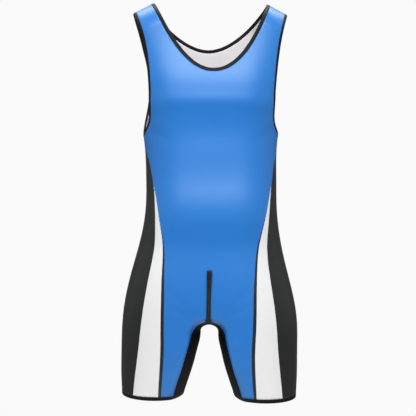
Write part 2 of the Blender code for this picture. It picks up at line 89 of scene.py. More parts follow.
# %% Sizes of the form
FORM = {  # height, half width at the side or depth in front or behind
    "side": (
        (0.030, 0.2090), (-0.060, 0.1880), (-0.120, 0.1725), (-0.180, 0.1590), (-0.230, 0.1490),
        (-0.270, 0.1427), (-0.300, 0.1396), (-0.360, 0.1382), (-0.420, 0.1390),
        (-0.480, 0.1465), (-0.540, 0.1605), (-0.600, 0.1757), (-0.660, 0.1852),
        (-0.720, 0.1868), (-0.780, 0.1866), (-0.840, 0.1830),
    ),
    "front": (
        (0.030, 0.0960), (-0.060, 0.0980), (-0.120, 0.1060), (-0.155, 0.1112), (-0.180, 0.1130),
        (-0.205, 0.1118), (-0.250, 0.1065), (-0.285, 0.1032), (-0.320, 0.1016),
        (-0.365, 0.1021), (-0.410, 0.1040), (-0.450, 0.1036), (-0.490, 0.1010),
        (-0.525, 0.1003), (-0.560, 0.1016), (-0.600, 0.1015), (-0.660, 0.0975),
        (-0.720, 0.0885), (-0.780, 0.0790), (-0.840, 0.0720),
    ),
    "back": (
        (0.030, 0.0960), (-0.060, 0.1040), (-0.120, 0.1100), (-0.180, 0.1100), (-0.230, 0.1050),
        (-0.270, 0.0980), (-0.300, 0.0930), (-0.360, 0.0860), (-0.420, 0.0850),
        (-0.480, 0.0940), (-0.540, 0.1070), (-0.600, 0.1150), (-0.660, 0.1110),
        (-0.720, 0.0960), (-0.780, 0.0830), (-0.840, 0.0750),
    ),
}
CROTCH_HEIGHT = -0.6700
ARCH = (  # height, half the gap between the legs
    (CROTCH_HEIGHT, 0.0000),
    (-0.6753, 0.0145), (-0.6920, 0.0196), (-0.7270, 0.0266), (-0.7480, 0.0316),
    (-0.7780, 0.0405), (-0.8160, 0.0530), (-0.8400, 0.0610),
)
ARCH_TURN = 0.024  # how far from the gap the cloth starts to turn inwards
LEG_SHARE = (  # height, where a leg's own section starts inwards, as a share of the side
    (-0.500, -1.00), (-0.560, -0.99), (-0.620, -0.93), (-0.660, -0.82), (-0.700, -0.62),
    (-0.740, -0.36), (-0.780, -0.10), (-0.8145, 0.10), (-0.840, 0.20),
)
ARCH_ROUNDNESS = 0.030
SHOULDER_MIDDLE, SHOULDER_SLOPE, SHOULDER_ROLL = 0.1405, 0.487, 0.065
HEM_HEIGHT = -0.8145


def smooth(at, table, column):
    """Natural cubic spline: between two rows the value is the straight line between them plus
    (a^3 - a) and (b^3 - b) times the bend at each end, a and b being the shares of the step."""
    rows = np.array(sorted(table))
    knots, values = rows[:, 0], rows[:, column]
    step = np.diff(knots)
    slope = np.diff(values) / step
    count = len(knots)
    matrix, right = np.eye(count), np.zeros(count)
    for i in range(1, count - 1):
        matrix[i, i - 1 : i + 2] = step[i - 1], 2 * (step[i - 1] + step[i]), step[i]
        right[i] = 6 * (slope[i] - slope[i - 1])
    bend = np.linalg.solve(matrix, right)
    at = np.clip(at, knots[0], knots[-1])
    i = np.clip(np.searchsorted(knots, at) - 1, 0, count - 2)
    a = (knots[i + 1] - at) / step[i]
    b = 1 - a
    curve = (a**3 - a) * bend[i] + (b**3 - b) * bend[i + 1]
    return a * values[i] + b * values[i + 1] + curve * step[i] ** 2 / 6


def form(name, z):
    return smooth(z, FORM[name], 1)


def softened(x, side):
    """x with a round turn at the middle: the hypotenuse of x and the roundness, less it."""
    turn = np.hypot(x, ARCH_ROUNDNESS) - ARCH_ROUNDNESS
    return turn * side / (np.hypot(side, ARCH_ROUNDNESS) - ARCH_ROUNDNESS)


def unsoftened(m, side):
    scale = (np.hypot(side, ARCH_ROUNDNESS) - ARCH_ROUNDNESS) / side
    return np.sqrt(np.maximum((m * scale + ARCH_ROUNDNESS) ** 2 - ARCH_ROUNDNESS**2, 0))


ARCH_SOFT = tuple((z, float(softened(gap, form("side", z)))) for z, gap in ARCH)
ARCH_POINTS = 400


def arch_edge(z):
    """Half the gap between the legs at a height. The spline goes through softened widths,
    which makes the top of the arch round."""
    return unsoftened(np.maximum(smooth(z, ARCH_SOFT, 1), 0), form("side", z))


def arch_line():
    """Points (x, z) down one side of the gap, closer together at its top."""
    z = CROTCH_HEIGHT + (ARCH[-1][0] - CROTCH_HEIGHT) * np.linspace(0, 1, ARCH_POINTS) ** 2
    return np.column_stack([arch_edge(z), z])


ARCH_LINE = arch_line()


def arch_distance(x, z):
    """How far a place (x, z) is from the gap: the least distance to its outline's pieces,
    each found by dropping the place onto the piece."""
    start, piece = ARCH_LINE[:-1], np.diff(ARCH_LINE, axis=0)
    place = np.stack([np.abs(x), z], axis=-1)[..., None, :] - start
    share = np.clip((place * piece).sum(axis=-1) / (piece**2).sum(axis=-1), 0, 1)
    return np.linalg.norm(place - share[..., None] * piece, axis=-1).min(axis=-1)


def shoulder_line(x):
    return -SHOULDER_SLOPE * (np.abs(x) - SHOULDER_MIDDLE)


def rounded(share):
    """A quarter of a circle, squared: 1 - (1 - share)^2, and 1 beyond it."""
    return 1 - np.maximum(1 - share, 0) ** 2


def fullness(x, z):
    """1 - ((x - middle) / half)^2 across the trunk or a leg, times the rounding under the
    shoulder line and the rounding beside the gap between the legs."""
    side, leg = form("side", z), smooth(z, LEG_SHARE, 1)
    middle, half = side * (1 + leg) / 2, side * (1 - leg) / 2
    across = 1 - ((softened(np.abs(x), side) - middle) / half) ** 2
    full = across * rounded((shoulder_line(x) - z) / SHOULDER_ROLL)
    near = z < CROTCH_HEIGHT + ARCH_TURN
    full[near] *= rounded(arch_distance(x[near], z[near]) / ARCH_TURN)
    return full


def on_form(x, z, face):
    x, z = np.broadcast_arrays(np.asarray(x, float), np.asarray(z, float))
    out = form(face, z) * np.sqrt(np.maximum(fullness(x, z), 0))
    return np.stack([x, -out if face == "front" else out, z], axis=-1)


print(f"half width {form('side', -0.36):.3f} at the waist, {form('side', -0.72):.3f} at the thighs")

# %% [markdown]
# ## Which way the cloth faces
#
# The form is where (y / depth)^2 equals fullness, so the way out is the gradient of their
# difference, taken here by stepping a hair's breadth along each axis.

# %% Normals of the form
NUDGE = 1e-5


def unit(vectors):
    return vectors / np.linalg.norm(vectors, axis=-1, keepdims=True)


def form_normal(points):
    def outside(p):
        x, y, z = np.moveaxis(p, -1, 0)
        depth = np.where(y < 0, form("front", z), form("back", z))
        return (y / depth) ** 2 - fullness(x, z)

    steps = np.eye(3) * NUDGE
    return unit(np.stack([outside(points + d) - outside(points - d) for d in steps], axis=-1))


# %% [markdown]
# ## Where the cloth gives
#
# On a form this taut the knit shows hardly a crease, only wide soft swells: it stands out over
# the chest, falls in under it, rounds over the belly, dips at the hips and draws in to the
# crotch. They are a sum of bell curves. Each has its own middle, reach across, reach along,
# height and slant, so no two are alike, and the back has its own set.

# %% Swells and troughs
SWELLS = {  # x, z, reach across, reach along, height, slant
    "front": (
        (0.002, -0.208, 0.150, 0.017, 0.0022, 0.02),
        (-0.004, -0.264, 0.130, 0.037, -0.0026, -0.02),
        (0.004, -0.434, 0.135, 0.058, 0.0060, 0.03),
        (0.000, -0.500, 0.120, 0.020, -0.0008, 0.00),
        (0.000, -0.672, 0.060, 0.030, -0.0038, 0.00),
        (0.052, -0.640, 0.040, 0.010, -0.0010, 0.55),
        (-0.056, -0.634, 0.044, 0.012, -0.0012, -0.48),
        (0.060, -0.612, 0.034, 0.009, -0.0007, 0.70),
        (-0.050, -0.603, 0.030, 0.008, -0.0006, -0.75),
        (0.112, -0.272, 0.026, 0.011, -0.0009, 0.62),
        (-0.114, -0.276, 0.030, 0.012, -0.0010, -0.55),
    ),
    "back": (
        (0.000, -0.300, 0.100, 0.040, -0.0020, 0.00),
        (0.010, -0.430, 0.110, 0.030, -0.0018, 0.05),
        (-0.070, -0.395, 0.060, 0.010, -0.0009, -0.20),
        (0.066, -0.412, 0.050, 0.009, -0.0008, 0.24),
        (0.048, -0.655, 0.036, 0.009, -0.0011, 0.60),
        (-0.052, -0.648, 0.040, 0.010, -0.0012, -0.55),
        (0.120, -0.258, 0.024, 0.008, -0.0010, 0.30),
        (-0.118, -0.264, 0.022, 0.009, -0.0010, -0.34),
        (0.000, -0.160, 0.110, 0.040, 0.0018, 0.00),
    ),
}


HOLD_FULLNESS = 0.35  # below this fullness the swells fade out


def swelling(points, face):
    """Sum of height * exp(-(a / across)^2 - (b / along)^2), where a and b are the distances
    from the swell's middle along its slanted line and square to it."""
    total = np.zeros(points.shape[:-1])
    for x, z, across, along, height, slant in SWELLS[face]:
        right, up = points[..., 0] - x, points[..., 2] - z
        a = right * math.cos(slant) + up * math.sin(slant)
        b = up * math.cos(slant) - right * math.sin(slant)
        total += height * np.exp(-((a / across) ** 2) - (b / along) ** 2)
    return total


def clothed(points, face):
    """The form's points moved out by the swells, less and less towards the side seams and
    the edges of the form, so that the panels still meet."""
    x, z = points[..., 0], points[..., 2]
    hold = np.clip(fullness(x, z) / HOLD_FULLNESS, 0, 1)
    hold = hold * hold * (3 - 2 * hold)
    return points + form_normal(points) * (swelling(points, face) * hold)[..., None]


# %% [markdown]
# The whole garment is shown turned a little at the waist, the trunk one way and the legs the
# other. Each point turns about the vertical axis by an angle that depends on its height, a
# hyperbolic tangent, and leans sideways by a spline of its height. Near the hems it also
# drops a little in front and at the wearer's left. The pose comes last, when a piece is
# otherwise done.

# %% The pose
TWIST = math.radians(2.7)
TWIST_MIDDLE, TWIST_SPREAD = -0.5580, 0.1500
LEAN = (  # height, shift towards the wearer's left
    (0.030, 0.0000), (-0.030, 0.0000), (-0.100, 0.0014), (-0.200, 0.0010), (-0.300, 0.0016),
    (-0.380, 0.0026), (-0.440, 0.0020), (-0.500, 0.0000), (-0.550, -0.0016), (-0.660, -0.0014),
    (-0.740, -0.0026), (-0.840, -0.0030),
)
SETTLE_TOP, SETTLE_LIFT, SETTLE_PITCH, SETTLE_ROLL = -0.7000, 0.0015, 0.020, 0.012


def posed(points):
    x, y, z = np.moveaxis(points, -1, 0)
    turn = TWIST * np.tanh((z - TWIST_MIDDLE) / TWIST_SPREAD)
    cos, sin = np.cos(turn), np.sin(turn)
    share = (np.maximum(SETTLE_TOP - z, 0) / (SETTLE_TOP - HEM_HEIGHT)) ** 2
    settle = share * (SETTLE_LIFT + SETTLE_PITCH * y - SETTLE_ROLL * x)
    return np.stack([x * cos - y * sin + smooth(z, LEAN, 1), x * sin + y * cos, z + settle], axis=-1)


# %% [markdown]
# ## Seam lines
#
# The neckline is a power curve: it rises from its lowest point with |x| to the power of about
# two. The armhole and the gusset's seam are splines through a few measured places.

# %% Seam lines
NECK_HALF_WIDTH = 0.1268
NECKS = {"front": (0.1476, 2.10), "back": (0.0750, 1.85)}  # drop, power
ARMHOLE_TOP_HALF_WIDTH = 0.1575
ARMHOLE_TOP = -SHOULDER_SLOPE * (ARMHOLE_TOP_HALF_WIDTH - SHOULDER_MIDDLE)
ARMHOLE_BOTTOM = -0.2720
ARMHOLE_COLUMNS = ("height", "front", "back")
ARMHOLE = (
    (ARMHOLE_TOP, ARMHOLE_TOP_HALF_WIDTH, ARMHOLE_TOP_HALF_WIDTH),
    (-0.0400, 0.1470, 0.1485), (-0.0770, 0.1375, 0.1400), (-0.1070, 0.1325, 0.1335),
    (-0.1400, 0.1288, 0.1290), (-0.1750, 0.1265, 0.1275), (-0.2050, 0.1255, 0.1310),
    (-0.2300, 0.1262, 0.1360), (-0.2500, 0.1298, 0.1400), (-0.2625, 0.1362, 0.1418),
    (ARMHOLE_BOTTOM, 0.1425, 0.1425),
)
GUSSET_RIM = 0.0100
GUSSET_SEAM = (  # x, height
    (0.0000, CROTCH_HEIGHT + GUSSET_RIM),
    (0.0150, -0.6635), (0.0280, -0.6750), (0.0370, -0.6980), (0.0460, -0.7290),
    (0.0560, -0.7640), (0.0645, -0.7890),
    (0.0715, HEM_HEIGHT),
)


def neckline(x, face):
    drop, power = NECKS[face]
    rise = drop + shoulder_line(NECK_HALF_WIDTH)
    return -drop + rise * (np.abs(x) / NECK_HALF_WIDTH) ** power


def outer_edge(z, face):
    """Half the width of a panel: to the armhole, and below it to the side seam."""
    above = z > ARMHOLE_BOTTOM
    return np.where(above, smooth(z, ARMHOLE, ARMHOLE_COLUMNS.index(face)), form("side", z))


def gusset_seam(along):
    """Points (x, z) of the gusset's seam, with along from 0 in the middle to 1 at a hem."""
    half = np.array(GUSSET_SEAM)
    whole = np.concatenate([half[:0:-1] * (-1, 1), half])
    lengths = np.linalg.norm(np.diff(whole, axis=0), axis=1)
    reach = np.concatenate([[0], np.cumsum(lengths)])
    reach = (reach - reach[-1] / 2) / (reach[-1] / 2)
    table = [tuple(row) for row in np.column_stack([reach, whole])]
    return np.stack([smooth(along, table, 1), smooth(along, table, 2)], axis=-1)


# %% [markdown]
# ## From arrays to a mesh
#
# Every piece of cloth is a grid of points. The helper lists the four corners of each cell,
# gives the mesh a UV map in metres, so that the knit keeps its size all over, and stores any
# extra numbers as attributes of the points. Solidify then gives the sheet its thickness, with
# the second material on the inside.

# %% Mesh helpers
CLOTH = 0.0014


def numbered(grid, wrap=(0, 0)):
    """The grid's points numbered row by row. wrap repeats the first row or column at the
    end, which closes the surface that way."""
    index = np.arange(grid.shape[0] * grid.shape[1]).reshape(grid.shape[:2])
    return np.pad(index, ((0, wrap[0]), (0, wrap[1])), "wrap")


def quads(index, facing=1, keep=True):
    corners = index[:-1, :-1], index[:-1, 1:], index[1:, 1:], index[1:, :-1]
    cells = np.stack(corners, axis=-1)
    return cells[np.broadcast_to(keep, cells.shape[:2])][:, ::facing]


def add_mesh(name, points, faces, uv=None, numbers=None):
    """A shaded-smooth mesh object at the origin. uv holds a pair for each point."""
    mesh = bpy.data.meshes.new(name)
    mesh.from_pydata(points.tolist(), [], faces.tolist())
    mesh.shade_smooth()
    if uv is not None:
        corners = np.empty(len(mesh.loops), np.int32)
        mesh.loops.foreach_get("vertex_index", corners)
        layer = mesh.uv_layers.new(name="cloth")
        layer.data.foreach_set("uv", uv[corners].astype(np.float32).ravel())
    for key, values in (numbers or {}).items():
        made = mesh.attributes.new(key, "FLOAT", "POINT")
        made.data.foreach_set("value", values.astype(np.float32).ravel())
    obj = bpy.data.objects.new(name, mesh)
    bpy.context.scene.collection.objects.link(obj)
    return obj


def add_wall(obj, wall, inside=1):
    shell = obj.modifiers.new("Wall", "SOLIDIFY")
    shell.thickness = wall
    shell.offset = 0
    shell.material_offset = inside


def face_corners(obj):
    """The four corners of each face, as an array of faces by corners by x, y and z."""
    mesh = obj.data
    co = np.empty(len(mesh.vertices) * 3, np.float32)
    mesh.vertices.foreach_get("co", co)
    index = np.empty(len(mesh.loops), np.int32)
    mesh.loops.foreach_get("vertex_index", index)
    return co.reshape(-1, 3)[index.reshape(-1, 4)].astype(float)


def surface_area(obj):
    """Half the sum of the cross products of each face's diagonals."""
    p = face_corners(obj)
    return float(np.linalg.norm(np.cross(p[:, 2] - p[:, 0], p[:, 3] - p[:, 1]), axis=1).sum() / 2)


def run_along(points, axis, start=0.0):
    """How far each point of a grid is along its row or column."""
    steps = np.linalg.norm(np.diff(points, axis=axis), axis=-1)
    first = np.zeros_like(steps[:, :1] if axis == 1 else steps[:1])
    return np.concatenate([first, np.cumsum(steps, axis=axis)], axis=axis) + start


def add_sheet(name, grid, wall, facing=1, inside=1):
    """A sheet of cloth in its pose, with the runs along rows and columns as its UV map."""
    uv = np.stack([run_along(grid, 1), run_along(grid, 0)], axis=-1).reshape(-1, 2)
    sheet = add_mesh(name, posed(grid).reshape(-1, 3), quads(numbered(grid), facing), uv)
    add_wall(sheet, wall, inside)
    return sheet


# %% [markdown]
# ## The front and back panels
#
# A panel is cut whole from shoulder to hem. Its grid is drawn as a pattern maker would: each
# row starts on the inner edge, which is the neckline, then the middle line, then the gusset's
# seam, and ends on the outer edge, which is the armhole and then the side seam. In between,
# the places follow a sine, so that the cells stay even where the form turns to the side. One
# half is worked out and the other is its mirror image, and they share the middle line. The
# front's first column is as wide as half the zip's slot, so that leaving its cells out from
# the top of the zip down opens a slot with a square top. Below the slot the front's rows
# start on the gusset's seam beside it, not in the middle.

# %% Rows of a panel
STRAP_FOOT = -0.1750
CHEST_FOOT = -0.2550
STRAP_ROWS, CHEST_ROWS, BELLY_ROWS, ZIP_ROWS, LEG_ROWS, HALF_COLUMNS = 56, 44, 86, 38, 66, 60
LEG_CROWDING = 1.35
ZIP_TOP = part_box("zip_strip")[1].z
SLOT_HALF_WIDTH = 0.0090 / 2
TRUNK_FOOT = (CROTCH_HEIGHT + GUSSET_RIM, -0.6620)  # inner, outer height
SHARES = np.linspace(0, 1, 1001)
SLOT_SHARE = float(np.interp(SLOT_HALF_WIDTH, gusset_seam(SHARES)[:, 0], SHARES))


def panel_rows(face):
    """The inner and outer ends (x, z) of a half panel's rows, from the shoulder to the hem."""
    up = np.sin(np.linspace(math.pi / 2, 0, STRAP_ROWS + 1))
    neck_x = NECK_HALF_WIDTH * up
    inner = [np.column_stack([neck_x, neckline(neck_x, face)])]
    outer_z = [STRAP_FOOT + (ARMHOLE_TOP - STRAP_FOOT) * up]

    down = np.arange(1, CHEST_ROWS + 1) / CHEST_ROWS
    z = -NECKS[face][0] + (CHEST_FOOT + NECKS[face][0]) * down
    inner.append(np.column_stack([0 * z, z]))
    outer_z.append(STRAP_FOOT + (ARMHOLE_BOTTOM - STRAP_FOOT) * np.sin(down * math.pi / 2))

    zip_share = (ZIP_TOP - CHEST_FOOT) / (TRUNK_FOOT[0] - CHEST_FOOT)
    above = np.linspace(0, zip_share, BELLY_ROWS + 1)[1:]
    below = 1 - (1 - zip_share) * np.linspace(1, 0, ZIP_ROWS + 1)[1:] ** LEG_CROWDING
    down = np.concatenate([above, below])
    z = CHEST_FOOT + (TRUNK_FOOT[0] - CHEST_FOOT) * down
    inner.append(np.column_stack([0 * z, z]))
    outer_z.append(ARMHOLE_BOTTOM + (TRUNK_FOOT[1] - ARMHOLE_BOTTOM) * down)

    down = (np.arange(1, LEG_ROWS + 1) / LEG_ROWS) ** LEG_CROWDING
    first = SLOT_SHARE if face == "front" else 0.0
    inner.append(gusset_seam(first + (1 - first) * down))
    outer_z.append(TRUNK_FOOT[1] + (HEM_HEIGHT - TRUNK_FOOT[1]) * down)
    outer_z = np.concatenate(outer_z)
    return np.concatenate(inner), np.column_stack([outer_edge(outer_z, face), outer_z])


def half_panel(face):
    inner, outer = panel_rows(face)
    across = np.sin(np.linspace(0, math.pi / 2, HALF_COLUMNS)) + 0 * inner[:, :1]
    if face == "front":
        first = SLOT_HALF_WIDTH / (outer - inner)[:, :1]
        first[-LEG_ROWS:] = 0
        across = np.hstack([0 * first, first + (1 - first) * across])
    places = inner[:, None] + (outer - inner)[:, None] * across[..., None]
    return clothed(on_form(places[..., 0], places[..., 1], face), face)


# %% [markdown]
# ## The print down the sides
#
# The colour is dyed into the knit, so it is no piece of its own. Plain bands follow the side
# seam: a thin black line in front, a white band that widens below the waist, and a black one
# astride the seam itself. Each band is stored on the points as how far they are inside it, in metres. A
# shader that asks whether that number is above zero then draws an edge that stays sharp
# however large the cells are, which a colour for each point would not.

# %% Bands of the print
BANDS = {  # height, near and far edge from the side seam, measured on the cloth
    "side_black": (
        (-0.285, -0.0400, 0.0000), (-0.310, -0.0400, 0.0260), (-0.350, -0.0400, 0.0480),
        (-0.400, -0.0400, 0.0640), (-0.470, -0.0400, 0.0770), (-0.540, -0.0400, 0.0860),
        (-0.600, -0.0400, 0.0900), (-0.660, -0.0400, 0.0890), (-0.730, -0.0400, 0.0820),
        (-0.820, -0.0400, 0.0700),
    ),
    "white": (
        (-0.350, 0.0500, 0.0480), (-0.400, 0.0640, 0.0690), (-0.470, 0.0770, 0.0930),
        (-0.540, 0.0860, 0.1130), (-0.600, 0.0900, 0.1270), (-0.660, 0.0890, 0.1340),
        (-0.730, 0.0820, 0.1340), (-0.820, 0.0700, 0.1260),
    ),
    "black_line": (
        (-0.400, 0.0690, 0.0690), (-0.470, 0.0930, 0.0960), (-0.540, 0.1130, 0.1180),
        (-0.600, 0.1270, 0.1335), (-0.660, 0.1340, 0.1410), (-0.730, 0.1340, 0.1410),
        (-0.820, 0.1260, 0.1320),
    ),
}


def inside_band(name, seam_distance, z):
    """The smaller of the distances to the band's two edges, negative outside it, and less
    than nothing above its first row or below its last."""
    table = BANDS[name]
    near, far = (smooth(z, table, column) for column in (1, 2))
    inside = np.minimum(seam_distance - near, far - seam_distance)
    ends = np.minimum(table[0][0] - z, z - table[-1][0] if table[-1][0] > HEM_HEIGHT else 1.0)
    return np.minimum(inside, ends)


# %% [markdown]
# Both halves go into one mesh. Points that nothing uses are dropped, and the numbers of the
# rest are closed up.

# %% Build the panels
def add_panel(name, face):
    half = half_panel(face)
    rows, columns = half.shape[:2]
    left = numbered(half)
    right = left + rows * columns
    open_row = STRAP_ROWS + CHEST_ROWS + BELLY_ROWS if face == "front" else rows - LEG_ROWS - 1
    right[STRAP_ROWS : open_row + 1, 0] = left[STRAP_ROWS : open_row + 1, 0]
    keep = np.ones((rows - 1, columns - 1), bool)
    if face == "front":
        keep[open_row:, 0] = False
    facing = -1 if face == "front" else 1
    faces = np.concatenate([quads(left, facing, keep), quads(right, -facing, keep)])

    across = run_along(half, 1, half[:, :1, 0])
    down = run_along(half, 0)
    from_seam = across[:, -1:] - across
    uv = np.stack([across, down[-1] - down], axis=-1).reshape(-1, 2)
    numbers = {key: inside_band(key, from_seam, half[..., 2]).ravel() for key in BANDS}

    points = half.reshape(-1, 3)
    points = np.concatenate([points, points * (-1, 1, 1)])
    uv = np.concatenate([uv, uv * (-1, 1)])
    used, compact = np.unique(faces, return_inverse=True)
    numbers = {key: np.tile(values, 2)[used] for key, values in numbers.items()}
    panel = add_mesh(name, posed(points[used]), compact.reshape(-1, 4), uv[used], numbers)
    add_wall(panel, CLOTH)
    return panel, half


front_cloth, front_half = add_panel("front_cloth", "front")
back_cloth, back_half = add_panel("back_cloth", "back")
print(f"front {surface_area(front_cloth):.3f} m2, back {surface_area(back_cloth):.3f} m2")

# %% [markdown]
# ## The gusset
#
# One black hourglass of knit runs down the inside of one leg, through the crotch and down the
# other. Each row of its grid leaves the seam on the front panel, goes round the outline of
# the form between the legs, and ends at the seam on the back panel. Its points move away from
# the outline with the square of the share, which undoes the square root of the form.

# %% Build the gusset
GUSSET_ROWS, GUSSET_ACROSS, OUTLINE_STEPS = 90, 41, 1201


def arch_outline(along):
    """Points (x, z) where the form turns from front to back between the legs."""
    z = CROTCH_HEIGHT + (HEM_HEIGHT - CROTCH_HEIGHT) * np.linspace(0, 1, OUTLINE_STEPS) ** 2
    x = arch_edge(z)
    reach = np.concatenate([[0], np.cumsum(np.hypot(np.diff(x), np.diff(z)))])
    at = np.abs(along) * reach[-1]
    x, z = np.interp(at, reach, x), np.interp(at, reach, z)
    return np.stack([np.sign(along) * x, z], axis=-1)


def gusset_grid():
    along = (np.arange(GUSSET_ROWS + 1) / GUSSET_ROWS) ** LEG_CROWDING
    along = np.concatenate([-along[:0:-1], along])
    seam, outline = gusset_seam(along), arch_outline(along)
    turn = np.linspace(-1, 1, GUSSET_ACROSS)
    places = outline[:, None] + (seam - outline)[:, None] * (turn**2)[:, None]
    front = clothed(on_form(places[..., 0], places[..., 1], "front"), "front")
    back = clothed(on_form(places[..., 0], places[..., 1], "back"), "back")
    grid = np.where((turn < 0)[:, None], front, back)
    grid[:, GUSSET_ACROSS // 2, 1] = 0
    return grid


gusset_cloth = add_sheet("gusset_cloth", gusset_grid(), CLOTH)
print(f"gusset {surface_area(gusset_cloth):.3f} m2")

# %% [markdown]
# ## Folded elastic edges
#
# A strip of elastic is folded over the raw edge of the neck and of each armhole, so its
# section is flat with round edges. The section is a superellipse, |cos|^0.45 across and
# |sin|^0.8 out, carried along the seam line. Across it follows the form, and its free edge
# leans in a little, because the elastic is shorter than the opening.

# %% Edge bands
BINDING_WIDTH, BINDING_WALL, BINDING_CURL = 0.0075, 0.0024, 0.0010
SECTION_STEPS = 22
LOOP_STEP = 0.0026


def signed_power(values, power):
    return np.sign(values) * np.abs(values) ** power


def even_loop(loop):
    """A closed line of points at even steps, worked out by its length."""
    closed = np.vstack([loop, loop[:1]])
    reach = np.concatenate([[0], np.cumsum(np.linalg.norm(np.diff(closed, axis=0), axis=1))])
    at = np.linspace(0, reach[-1], round(reach[-1] / LOOP_STEP), endpoint=False)
    return np.stack([np.interp(at, reach, closed[:, k]) for k in range(3)], axis=-1)


def add_band(name, strip, normal, wall):
    """A closed tube of cloth. strip(share) gives the middle line at a share of the width
    from the seam; out from it goes half the wall times the section's height."""
    turn = np.linspace(0, 2 * math.pi, SECTION_STEPS, endpoint=False)
    share = 0.5 + 0.5 * signed_power(np.cos(turn), 0.45)
    height = signed_power(np.sin(turn), 0.8) * wall / 2
    rings = [strip(s) + normal * h for s, h in zip(share, height)]
    grid = np.stack(rings, axis=1)
    around, along = np.broadcast_arrays(run_along(grid, 1)[:1], run_along(grid, 0)[:, :1])
    uv = np.stack([around, along], axis=-1).reshape(-1, 2)
    band = add_mesh(name, posed(grid).reshape(-1, 3), quads(numbered(grid, (1, 1))), uv)
    if signed_volume(band) < 0:
        band.data.flip_normals()
    return band


def signed_volume(obj):
    """A sixth of the sum of the triple products of both triangles of each face."""
    p = face_corners(obj)
    return sum(float(np.linalg.det(p[:, half]).sum()) for half in ([0, 1, 2], [0, 2, 3])) / 6


def add_binding(name, loop):
    loop = even_loop(loop)
    ahead = unit(np.roll(loop, -3, axis=0) - np.roll(loop, 3, axis=0))
    normal = form_normal(loop)
    sideways = unit(np.cross(normal, ahead))
    if ((loop.mean(axis=0) - loop) * sideways).sum() < 0:
        sideways = -sideways

    def strip(share):
        return loop + sideways * BINDING_WIDTH * share - normal * BINDING_CURL * share**2

    return add_band(name, strip, normal, BINDING_WALL)


def seam_loop(column, rows, side=None):
    """The rows' ends of both panels as one closed line: the neck, or one armhole."""
    front, back = (
        clothed(on_form(*panel_rows(face)[column][:rows].T, face), face)
        for face in ("front", "back")
    )
    for edge in (front, back):
        edge[0, 1] = 0
        if side is not None:
            edge[-1, 1] = 0
    if side is not None:
        return np.concatenate([front, back[-2:0:-1]]) * (side, 1, 1)
    whole = [np.concatenate([e, e[-2::-1] * (-1, 1, 1)]) for e in (front, back)]
    return np.concatenate([whole[0], whole[1][-2:0:-1]])


neck_edge = add_binding("neck_edge", seam_loop(0, STRAP_ROWS + 1))
armhole_edges = {
    name: add_binding(f"armhole_edge_{name}", seam_loop(1, STRAP_ROWS + CHEST_ROWS + 1, side))
    for name, side in (("left", 1), ("right", -1))
}
print("neck edge", len(neck_edge.data.polygons), "faces")

# %% [markdown]
# The hems end in a band of grip elastic. Its middle line is the section of the leg at that
# height. Steps of a cosine from the inside to the outside of the leg make the points even
# round both turns.

# %% Leg bands
HEM_BAND, HEM_WALL = 0.0080, 0.0024
LEG_STEPS = 180


def leg_ring(z, side):
    turn = np.linspace(0, math.pi, LEG_STEPS // 2 + 1)
    inner, outer = arch_edge(z), form("side", z)
    x = inner + (outer - inner) * (1 - np.cos(turn)) / 2
    front, back = (on_form(x, z, face) for face in ("front", "back"))
    for half in (front, back):
        half[[0, -1], 1] = 0
    return np.concatenate([front, back[-2:0:-1]]) * (side, 1, 1)


def add_leg_edge(name, side):
    middle = leg_ring(HEM_HEIGHT - HEM_BAND / 2, side)
    ahead = unit(np.roll(middle, -1, axis=0) - np.roll(middle, 1, axis=0))
    outward = unit(np.cross(ahead, (0, 0, 1)) * side)
    outward *= np.sign(((middle - middle.mean(axis=0)) * outward).sum())
    return add_band(
        name,
        lambda share: leg_ring(HEM_HEIGHT - HEM_BAND * share, side),
        outward,
        HEM_WALL,
    )


leg_edges = {name: add_leg_edge(f"leg_edge_{name}", side) for name, side in (("left", 1), ("right", -1))}

# %% [markdown]
# ## The zip
#
# A coil zip has two tapes, each with a nylon spiral along its edge; closed, the turns of the
# two spirals lie side by side like the teeth of a comb. The tape is a strip of the form. A
# turn of the coil is a bean-shaped bead: a superellipsoid of a few faces, repeated down both
# sides half a pitch apart, all in one mesh made from arrays.

# %% Zip tape and coil
ZIP_WIDTH = 0.0090
TAPE_WALL = 0.0012
TAPE_SINK = 0.0004
COIL_PITCH = 0.0012
COIL_SIZE = (0.0017, 0.0008, 0.00046)  # half length across, half depth, half height
COIL_ASIDE = 0.0009
BEAD_TURNS, BEAD_LEVELS = 10, 6
ZIP_STEPS, ZIP_ACROSS = 96, 13


def zip_line(foot):
    """Heights down the middle of the front from the top of the zip."""
    return ZIP_TOP + (foot - ZIP_TOP) * np.sin(np.linspace(0, math.pi / 2, ZIP_STEPS + 1))


tape_z = zip_line(CROTCH_HEIGHT + GUSSET_RIM)
tape = on_form(np.linspace(-ZIP_WIDTH / 2, ZIP_WIDTH / 2, ZIP_ACROSS), tape_z[:, None], "front")
tape = clothed(tape, "front")
tape -= form_normal(tape) * TAPE_SINK
zip_tape = add_sheet("zip_tape", tape, TAPE_WALL, facing=-1, inside=0)


def bead(size):
    """A superellipsoid: |cos| and |sin| to the power 0.6, times its half sizes."""
    level = np.linspace(-math.pi / 2, math.pi / 2, BEAD_LEVELS + 1)[:, None]
    turn = np.linspace(0, 2 * math.pi, BEAD_TURNS, endpoint=False)
    ring = signed_power(np.cos(level), 0.6)
    x = signed_power(np.sin(level), 0.6) + 0 * turn
    y, z = (ring * signed_power(f(turn), 0.8) for f in (np.cos, np.sin))
    points = np.stack([x, y, z], axis=-1) * size
    return points.reshape(-1, 3), quads(numbered(points, (0, 1)), -1)


